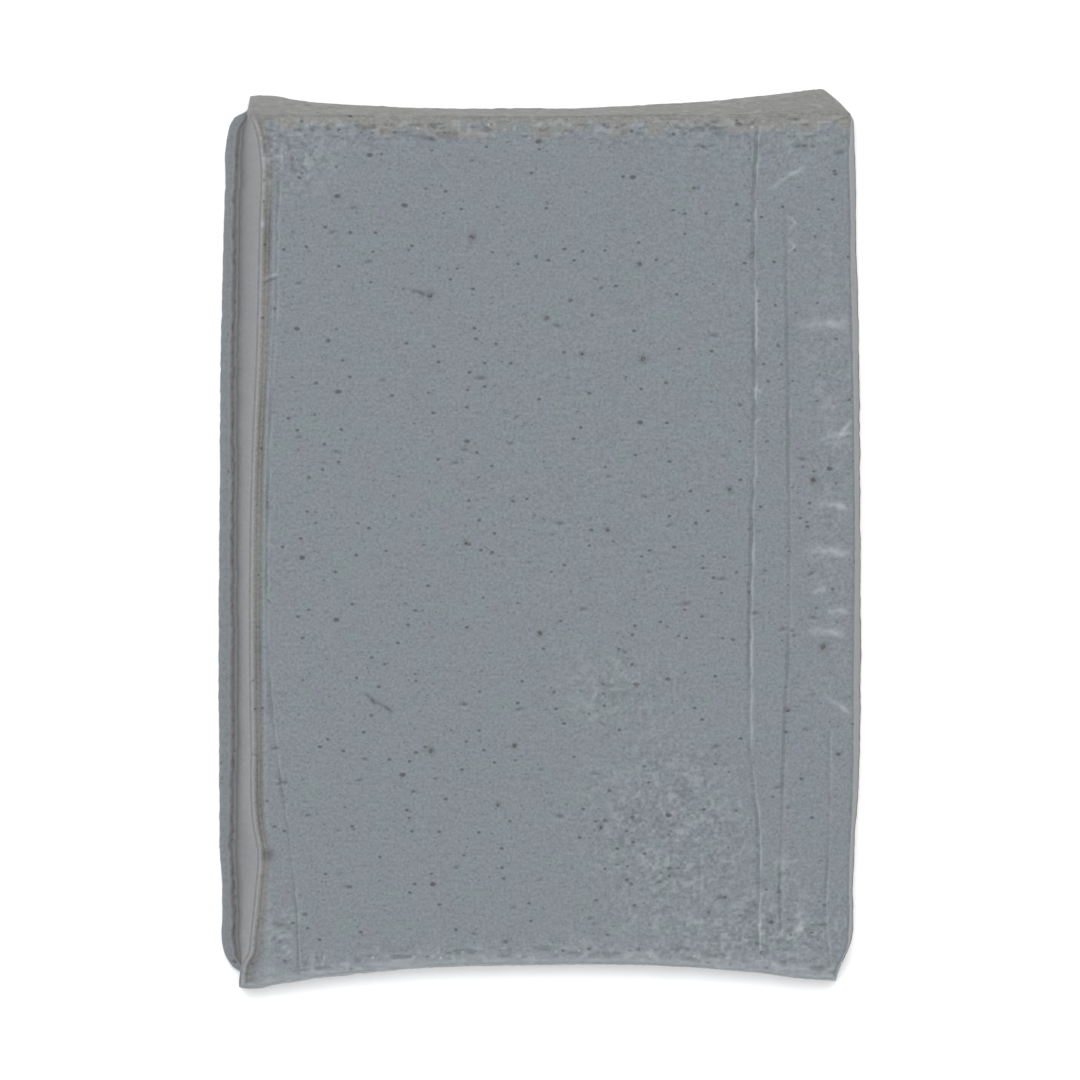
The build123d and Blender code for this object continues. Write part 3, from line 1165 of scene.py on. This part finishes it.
    def footed_profile(self) -> Profile:
        """Draws the section of a cut end: edge, wall, crevice, ledge, foot.

        Returns:
            The section's rows.
        """
        shoulder, ledge_end = self.thickness - self.top_radius, 0.64
        crevice = ((0.1, 0.5), (0.2, 0.85), (0.32, 1.0), (0.46, 0.9), (0.62, 0.6), (0.8, 0.25), (1.0, 0.05))
        ledge = ((0.12, 0.0), (0.3, -0.01), (0.48, -0.01), (ledge_end, 0.0))
        rows: list[tuple[float, float, float, float, float, float]] = []
        for turn in quarter_turn(4):
            height = self.thickness - self.top_radius * (1 - math.cos(turn))
            rows.append((0, 0, 0, self.top_radius * math.sin(turn), height, 0))
        for share in shares(24):
            height = shoulder + (self.foot_height - shoulder) * share
            rows.append((share, 0, 0, self.top_radius * (1 - share), height, 0))
        rows += [(1, rim, 0, 0, self.foot_height, sink) for rim, sink in crevice]
        rows += [(1, 1, foot, 0, self.foot_height - drop, 0) for foot, drop in ledge]
        for turn in quarter_turn(4):
            foot = ledge_end + (1 - ledge_end) * math.sin(turn)
            rows.append((1, 1, foot, 0, self.foot_height - self.foot_radius * (1 - math.cos(turn)), 0))
        for share in shares(5):
            height = (self.foot_height - self.foot_radius) * (1 - share) + self.sole_radius * share
            rows.append((1, 1, 1, 0, height, 0))
        for turn in quarter_turn(3):
            tuck = self.sole_radius * (1 - math.cos(turn))
            rows.append((1, 1, 1, -tuck, self.sole_radius * (1 - math.sin(turn)), 0))
        return Profile(*np.array(rows).T)

    def plain_profile(self, count: int) -> Profile:
        """Draws the section of a soft edge, which leans out and ends at the table without a foot.

        Args:
            count: how many rows it has.

        Returns:
            The section's rows.
        """
        turned, tucked, lean_power = 4, 3, 1.4
        walled = count - turned - tucked
        turns, tucks = quarter_turn(turned), quarter_turn(tucked)
        shoulder = self.thickness - self.top_radius
        edge = self.thickness - self.top_radius * (1 - np.cos(turns))
        wall = shoulder + (self.sole_radius - shoulder) * shares(walled)
        height = np.concatenate([edge, wall, self.sole_radius * (1 - np.sin(tucks))])
        upright_from = 0.3 * self.thickness
        base = 1 - (1 - np.clip((shoulder - height) / (shoulder - upright_from), 0, 1)) ** lean_power
        wall_out = self.top_radius * (1 - base[turned : turned + walled])
        tuck_out = -self.sole_radius * (1 - np.cos(tucks))
        out = np.concatenate([self.top_radius * np.sin(turns), wall_out, tuck_out])
        level = np.zeros(count)
        return Profile(base, level, level, out, height, level)

    def sides(self, rim: Rim) -> Array:
        """Hangs the sections from the rim and roughens them.

        Args:
            rim: where each section runs.

        Returns:
            The sides' points, indexed by row and by place along the rim.
        """
        footed = self.footed_profile()
        plain = self.plain_profile(len(footed.base))
        share = rim.foot_share[None, :]
        mixed = [a[:, None] * share + b[:, None] * (1 - share) for a, b in zip(footed, plain, strict=True)]
        to_base, to_rim, to_foot, out, height, sink = mixed
        place = rim.top[None, :, :2] + to_base[..., None] * (rim.base - rim.top[:, :2])[None]
        place = place + to_rim[..., None] * (rim.inner - rim.base)[None]
        place = place + to_foot[..., None] * (rim.foot - rim.inner)[None]
        height = height * (rim.top[:, 2] / self.thickness)[None, :] - sink * rim.depth[None, :]
        soft = rim.soft()[None, :]
        along = rim.along()[None, :] + 0 * height
        swell_height = np.where(soft, self.soft_swell, self.cut_swell)
        swell = swell_height * lumps(along + self.side_shift * rim.side, height, 6.0, 4.0, 101)
        dragged, sliced = (
            sum(tall * lumps(along, height, *draw) for tall, *draw in rows) for rows in (DRAGGED, SLICED)
        )
        fade_height = 0.8
        fade = smooth_step(height / fade_height) * smooth_step((self.thickness - height) / fade_height)
        rough = fade * (swell + np.where(soft, dragged, sliced)) + out
        place = place + rough[..., None] * rim.outward[None]
        return np.concatenate([place, np.maximum(height, 0.0)[..., None]], axis=2)

    # ---- The mesh ----

    def paint_sides(self, rim: Rim, rows: int) -> tuple[Array, Array, Array]:
        """Works out the colour shares of the sides' points.

        Args:
            rim: where each section runs.
            rows: how many rows a section has.

        Returns:
            The pale, dark and warm shares, indexed by row and by place along the rim.
        """
        footed, row_height = self.footed_profile(), 0.3
        soft = rim.soft()
        front, right, rear, left = (rim.side == side.value for side in Side)
        down = np.arange(rows)[:, None] * row_height + 0 * rim.along()[None, :]
        across = rim.along()[None, :] + 0 * down

        def patches(size_x: float, size_y: float, seed: int, start: float, span: float) -> Array:
            """Draws eased patches of noise over the sides."""
            return smooth_step((lumps(across, down, size_x, size_y, seed) - start) / span)

        # Painted shade in the left crevice, broken into patches.
        darkest, spread = self.crevice_shade
        crevice = bell((footed.rim - darkest) / spread) * (footed.foot == 0) * (footed.rim > 0)
        crevice = crevice[:, None] * (rim.foot_share * left)[None, :]
        ledge = ((footed.foot > 0) & (footed.height > self.foot_height - self.foot_radius))[:, None]
        rear_ear = (rim.top[:, 1] > 0) * (1 - rim.foot_share)
        # Pale patches on the front and rear walls, and a painted highlight on the whole front wall, where
        # the light catches the rolled front edge.
        pale = soft * (0.24 * patches(0.8, 0.65, 111, 0.2, 0.7) + 0.28 * front)
        # Painted light: the left ledge's upward face is lightened against the shade from the wall beside
        # it.
        pale = pale + 0.12 * ledge * left * rim.foot_share
        dark = 0.27 * soft * patches(0.7, 0.6, 112, 0.2, 0.7)
        # Painted shade in the left crevice.
        dark = dark + (0.8 + 0.5 * patches(0.5, 0.5, 113, 0.35, 0.3)) * crevice
        # Painted shade: the right wall and foot, which face away from the light, are darkened evenly.
        dark = dark + 0.2 * (footed.base > 0)[:, None] * right * rim.foot_share
        warm = np.where(soft, rear, rear_ear)[None, :] + 0 * down
        return pale, np.clip(dark, 0, 1), warm

    def side_patch(self, index: Array, points: Array, rim: Rim, columns: int, rows: int) -> Patch:
        """Joins the sides' points into faces, and lays each side out as a strip of the sheet.

        Args:
            index: the points' numbers, by row and place along the rim, with the rim itself first.
            points: the points, in the same order.
            rim: where each section runs.
            columns: how many columns the top face has.
            rows: how many rows it has.

        Returns:
            The patch.
        """
        steps = [columns - 1, rows - 1, columns - 1, rows - 1]
        side = np.repeat([side.value for side in Side], steps)
        run = np.concatenate([[0.0], np.cumsum(rim.length)])
        first = run[np.cumsum([0, *steps])[:-1]][side]
        left_x, low_y = np.array([STRIPS[side] for side in Side])[side].T
        start, stop = left_x + run[:-1] - first, left_x + run[1:] - first
        down = np.cumsum(np.linalg.norm(np.diff(points, axis=0, prepend=points[:1]), axis=2), axis=0)
        sheet_y = quads(self.closed(down)) + low_y[None, :, None]
        sheet_x = np.broadcast_to(np.stack([start, start, stop, stop], axis=-1), sheet_y.shape)
        footed = self.footed_profile()
        band = np.arange(len(index) - 1)[:, None]
        on_left = (side == Side.LEFT.value) & (band <= int(np.argmax(footed.foot > 0)))
        on_right = (side == Side.RIGHT.value) & (band > int(np.argmax(footed.base > 0)))
        is_cut = (on_left | on_right) & (rim.foot_share > 0.5)
        surface = np.where(is_cut, Surface.CUT.value, Surface.SKIN.value).ravel()
        sheet = np.stack([sheet_x, sheet_y], axis=-1).reshape(-1, 4, 2)
        return Patch(quads(self.closed(index)).reshape(-1, 4), sheet, surface)

    @staticmethod
    def closed(rows: Array) -> Array:
        """Ends each row of the rim with its first point again."""
        return np.concatenate([rows, rows[:, :1]], axis=1)

    def sole(self, top: Array) -> Array:
        """Lays out the underside's points, which are coarser than the top face's.

        Args:
            top: the top face's points, indexed by column and row.

        Returns:
            The underside's points, indexed by column and row.
        """
        sole = top[:: self.group, :: self.group].copy()
        sole[..., :2] *= self.sole_shrink
        sole[..., 2] = 0.02 * (1 + lumps(sole[..., 0], sole[..., 1], 9.0, 9.0, 121))
        return sole

    def stitching(self, outer: Array, inner: Array, sheet: Array) -> Patch:
        """Joins the foot's fine edge to the underside's coarse edge with triangles.

        Args:
            outer: the numbers of the foot's points, along the rim.
            inner: the numbers of the underside's edge points, along the rim.
            sheet: where all the lump's points would lie beside the underside on the sheet.

        Returns:
            The patch, with triangles.
        """
        after = np.roll(inner, -1)
        o = [np.roll(outer, -k)[:: self.group] for k in range(self.group + 1)]
        threes = [(o[1], o[0], inner), (o[2], o[1], inner), (after, o[2], inner)]
        threes += [(o[3], o[2], after), (o[4], o[3], after)]
        faces = np.concatenate([np.stack(three, axis=1) for three in threes])
        return Patch(faces, sheet[faces])

    def build(self, seats: list[Dent]) -> tuple[bpy.types.Mesh, Array]:
        """Builds the lump's mesh.

        Args:
            seats: the dishes around the grit in the top face.

        Returns:
            The mesh in metres, and the top face's points in mm.
        """
        x, y = self.top_grid()
        relief = Relief(x, y)
        for mark in [*self.marks(), *seats]:
            mark.press(relief)
        top = np.stack([x, y, self.thickness - self.top_drop + relief.height], axis=-1)
        rim = self.rim(top)
        walls, sole = self.sides(rim), self.sole(top)
        grids = (top, walls, sole)
        points = np.concatenate([grid.reshape(-1, 3) for grid in grids])
        ends = np.cumsum([grid[..., 0].size for grid in grids])[:-1]
        numbers = zip(np.split(np.arange(len(points)), ends), grids, strict=True)
        on_top, on_wall, on_sole = (part.reshape(grid.shape[:2]) for part, grid in numbers)
        middle = np.array((self.half_width, self.half_length)) + self.sheet_gap
        beside = middle + (2 * self.half_width + 3 * self.sheet_gap, 0)
        hung = np.concatenate([around(on_top)[None], on_wall])
        patches = [
            grid_patch(on_top, top[..., :2] + middle, facing_up=True),
            self.side_patch(hung, np.concatenate([rim.top[None], walls]), rim, *x.shape),
            grid_patch(on_sole, sole[..., :2] + beside, facing_up=False),
            self.stitching(on_wall[-1], around(on_sole), points[:, :2] + beside),
        ]
        on_face, on_side = (relief.pale, relief.dark, relief.warm), self.paint_sides(rim, len(walls))
        clean = np.zeros(on_sole.size)
        painted = {
            name: np.concatenate([face.ravel(), side.ravel(), clean])
            for name, face, side in zip(("pale", "dark", "warm"), on_face, on_side, strict=True)
        }
        return self.mesh(points, patches, painted), top

    def mesh(self, points: Array, patches: list[Patch], painted: dict[str, Array]) -> bpy.types.Mesh:
        """Makes the mesh from its points and patches.

        Args:
            points: the points in mm.
            patches: the faces.
            painted: the colour shares of the points, by name.

        Returns:
            The mesh, smooth, with its places on the sheet and its colour shares.
        """
        mesh = bpy.data.meshes.new("clay_lump")
        corners = np.concatenate([patch.faces.ravel() for patch in patches])
        sizes = np.concatenate([np.full(len(patch.faces), patch.faces.shape[1]) for patch in patches])
        surfaces = np.concatenate([np.broadcast_to(patch.surface, len(patch.faces)) for patch in patches])
        mesh.vertices.add(len(points))
        mesh.vertices.foreach_set("co", (points * MM).ravel())
        mesh.loops.add(len(corners))
        mesh.loops.foreach_set("vertex_index", corners.astype(np.int32))
        mesh.polygons.add(len(sizes))
        mesh.polygons.foreach_set("loop_start", (np.cumsum(sizes) - sizes).astype(np.int32))
        mesh.polygons.foreach_set("material_index", surfaces.astype(np.int32))
        mesh.update(calc_edges=True)
        mesh.polygons.foreach_set("use_smooth", np.ones(len(sizes), dtype=bool))
        sheet = mesh.uv_layers.new(name="OFBake")
        places = np.concatenate([patch.sheet.reshape(-1, 2) for patch in patches]) / self.sheet_size
        sheet.data.foreach_set("uv", places.ravel().astype(np.float32))
        for name, share in painted.items():
            attribute = mesh.attributes.new(name, "FLOAT", "POINT")
            attribute.data.foreach_set("value", np.clip(share, 0, 1).astype(np.float32))
        mesh.validate()
        return mesh


# ==== The grit ====


@dataclass
class GritGrains:
    """Crushed grains bedded in the putty, one at each place where the frame has one."""

    node: str
    name: str
    seed: int
    stands_out: float = 0.08
    flatness: float = 0.5
    corners: int = 16
    chip: float = 0.03
    sole_gap: float = 0.005
    bumpiness: Point = (0.82, 1.08)
    slimness: Point = (0.62, 0.95)

    def places(self) -> list[tuple[Array, float]]:
        """Finds the grains in the frame.

        Returns:
            Each grain's centre and radius, in mm.
        """
        shape = bmesh.new()
        shape.from_mesh(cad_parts[self.node].data)
        found = []
        unseen = set(shape.verts)
        while unseen:
            stack = [unseen.pop()]
            island = []
            while stack:
                point = stack.pop()
                island.append(point.co / MM)
                ahead = {edge.other_vert(point) for edge in point.link_edges} & unseen
                unseen -= ahead
                stack.extend(ahead)
            low, high = np.min(island, axis=0), np.max(island, axis=0)
            found.append(((low + high) / 2, float((high - low)[:2].max()) / 2))
        shape.free()
        return sorted(found, key=lambda grain: tuple(np.round(grain[0], 3)))

    def build(self, top: Array, middle: float) -> bpy.types.Mesh:
        """Builds the grains, each a faceted chip with its broadest face outward.

        Args:
            top: the top face's points in mm, which the upper grains are bedded in.
            middle: the height in mm that parts the upper grains from the lower ones.

        Returns:
            The mesh in metres.
        """
        rng = np.random.default_rng(self.seed)
        whole = bmesh.new()
        for centre, radius in self.places():
            cloud = rng.normal(size=(self.corners, 3))
            cloud /= np.linalg.norm(cloud, axis=1, keepdims=True)
            cloud *= radius * rng.uniform(*self.bumpiness, (self.corners, 1))
            cloud *= (1.0, rng.uniform(*self.slimness), self.flatness)
            turn = rng.uniform(0, math.tau)
            spin = np.array([[math.cos(turn), -math.sin(turn)], [math.sin(turn), math.cos(turn)]])
            cloud[:, :2] = cloud[:, :2] @ spin
            if centre[2] > middle:
                away = (top[..., 0] - centre[0]) ** 2 + (top[..., 1] - centre[1]) ** 2
                ground = top[..., 2].ravel()[away.argmin()]
                cloud[:, 2] += ground + self.stands_out - cloud[:, 2].max()
            else:
                cloud[:, 2] += self.sole_gap - cloud[:, 2].min()
            cloud[:, :2] += centre[:2]
            self.add_chip(whole, cloud * MM)
        mesh = bpy.data.meshes.new(self.name)
        whole.to_mesh(mesh)
        whole.free()
        return mesh

    def add_chip(self, whole: bmesh.types.BMesh, cloud: Array) -> None:
        """Adds one grain: the hull of its corner points, with its edges knocked off.

        Args:
            whole: the mesh that holds all the grains.
            cloud: the corner points in metres.
        """
        chip = bmesh.new()
        corners = [chip.verts.new(point) for point in cloud]
        hull = bmesh.ops.convex_hull(chip, input=corners, use_existing_faces=False)
        inside = [part for part in hull["geom_interior"] if isinstance(part, bmesh.types.BMVert)]
        bmesh.ops.delete(chip, geom=inside, context="VERTS")
        bevel = {"offset": self.chip * MM, "segments": 1, "affect": "EDGES", "clamp_overlap": True}
        bmesh.ops.bevel(chip, geom=list(chip.edges), **bevel)
        scratch = bpy.data.meshes.new("grit_chip")
        chip.to_mesh(scratch)
        chip.free()
        whole.from_mesh(scratch)
        bpy.data.meshes.remove(scratch)


# ==== The bar and the studio ====


def placed_object(name: str, data: bpy.types.ID) -> bpy.types.Object:
    """Makes an object and puts it in the scene.

    Args:
        name: the object's name.
        data: its mesh, light or camera.

    Returns:
        The object.
    """
    thing = bpy.data.objects.new(name, data)
    bpy.context.scene.collection.objects.link(thing)
    return thing


@dataclass
class ClayBar:
    """The whole bar: the lump of putty and the grit in it."""

    seat_spread: float = 1.05
    seat_depth: float = 0.06
    seat_shade: float = 0.25

    def build(self) -> None:
        """Builds every piece and puts it in the frame."""
        low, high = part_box("clay_bar")
        lump = PuttyLump(high.x / MM, high.y / MM, high.z / MM)
        dark = GritGrains("dark_grit", "dark_grit_chips", 201)
        pale = GritGrains("pale_grit", "pale_grit_chips", 202, stands_out=0.03)
        middle = (low.z + high.z) / 2 / MM
        seats = [
            Dent((centre[0], centre[1]), self.seat_spread * radius, self.seat_depth, self.seat_shade)
            for centre, radius in dark.places()
            if centre[2] > middle
        ]
        mesh, top = lump.build(seats)
        self.add(mesh, "clay_bar", "clay_putty", [PRESSED_SKIN, KNIFE_CUT])
        self.add(dark.build(top, middle), "dark_grit", "dark_mineral", [DARK_MINERAL])
        self.add(pale.build(top, middle), "pale_grit", "pale_mineral", [PALE_MINERAL])

    def add(
        self, mesh: bpy.types.Mesh, node: str, slot: str, finishes: list[PuttyFinish | MineralFinish]
    ) -> None:
        """Makes a piece from its mesh, and ties it to the frame.

        Args:
            mesh: the piece's mesh.
            node: the frame's node that it stands for.
            slot: the name of the slot that its finish comes from; not used.
            finishes: its finishes, in the order of the mesh's material slots.
        """
        for finish in finishes:
            mesh.materials.append(finish.build())
        piece = placed_object(mesh.name, mesh)
        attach(piece, ROOT_BODY)
        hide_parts(node)
        log.info("%s: %d faces, stands for %s", piece.name, len(mesh.polygons), node)


@dataclass
class Studio:
    """A white table under soft light, and the camera above it."""

    table_reach: float = 6.0
    table_drop: float = 0.0001
    table_tint: str = "#FAFAFA"
    table_roughness: float = 0.8
    sky_tint: str = "#FFFFFF"
    sky_strength: float = 1.08
    lamp_place: tuple[float, float, float] = (-0.02, 0.12, 1.6)
    lamp_size: float = 0.25
    lamp_power: float = 12.0
    lens: float = 1000.0
    sensor: float = 36.0
    clip_start: float = 0.05
    clip_end: float = 30.0
    view_width: float = 106.6
    aim_y: float = -0.1

    def build(self) -> None:
        """Builds the table, the light and the camera."""
        self.table()
        self.lamp()
        self.sky()
        self.camera()
        bpy.context.scene.view_settings.view_transform = "Standard"

    def table(self) -> bpy.types.Object:
        """Builds the table top.

        Returns:
            The table's object.
        """
        mesh = bpy.data.meshes.new("table_top")
        reach = self.table_reach
        corners = [(-reach, -reach), (reach, -reach), (reach, reach), (-reach, reach)]
        mesh.from_pydata([(x, y, -self.table_drop) for x, y in corners], [], [(0, 1, 2, 3)])
        graph = Graph(bpy.data.materials.new("matt_white_laminate"))
        tint = linear_colour(self.table_tint)
        mesh.materials.append(graph.surfaced({"Base Color": tint, "Roughness": self.table_roughness}))
        return placed_object("table_top", mesh)

    def lamp(self) -> bpy.types.Object:
        """Builds the large soft light, behind the bar and a little to the left.

        Returns:
            The light's object.
        """
        light = bpy.data.lights.new("soft_light", "AREA")
        light.shape = "DISK"
        light.size = self.lamp_size
        light.energy = self.lamp_power
        lamp = placed_object("soft_light", light)
        lamp.location = self.lamp_place
        lamp.rotation_euler = (-Vector(self.lamp_place)).to_track_quat("-Z", "Y").to_euler()
        return lamp

    def sky(self) -> None:
        """Makes the room an even pale grey."""
        world = bpy.data.worlds.new("pale_room")
        graph = Graph(world)
        glow = {"Color": linear_colour(self.sky_tint), "Strength": self.sky_strength}
        graph.add("OutputWorld", {"Surface": graph.add("Background", glow)["Background"]})
        bpy.context.scene.world = world

    def camera(self) -> None:
        """Hangs the camera straight above the bar, with +Y up in the picture."""
        lens = bpy.data.cameras.new("view_from_above")
        lens.lens = self.lens
        lens.sensor_width = self.sensor
        lens.clip_start = self.clip_start
        lens.clip_end = self.clip_end
        camera = placed_object("view_from_above", lens)
        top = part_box("clay_bar")[1].z
        camera.location = (0.0, self.aim_y * MM, top + self.view_width * MM * self.lens / self.sensor)
        bpy.context.scene.camera = camera


def main() -> None:
    """Builds the bar and the studio."""
    logging.basicConfig(level=logging.INFO, format="%(name)s: %(message)s")
    ClayBar().build()
    Studio().build()


if __name__ == "__main__":
    main()
